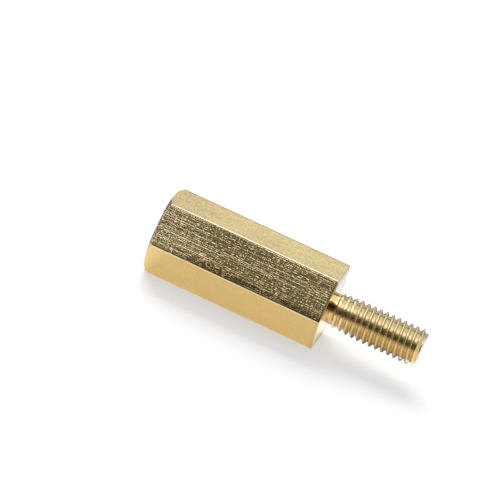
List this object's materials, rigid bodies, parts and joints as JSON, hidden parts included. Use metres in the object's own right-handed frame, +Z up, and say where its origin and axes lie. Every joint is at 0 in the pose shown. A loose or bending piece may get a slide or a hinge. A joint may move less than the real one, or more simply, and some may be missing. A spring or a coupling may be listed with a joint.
{
  "type": "hex standoff",
  "caption": "Male-female brass hex standoff: hexagon spacer body with a countersunk blind tapped hole in one end and a threaded stud with a relief neck on the other.",
  "frame": {"origin": "on the standoff's axis, in the plane of the shoulder, where the body's length ends and the stud begins", "axes": "+X along the axis towards the stud's tip, +Z up out of the flat opposite the one that it lies on, Y across two corners"},
  "size_m": [0.0215, 0.0068, 0.006],
  "materials": {
    "brass": "drawn and turned brass, satin flats with fine lengthwise grain, brighter turned faces"
  },
  "bodies": {
    "root": {"standoff": "brass"}
  },
  "joints": []
}
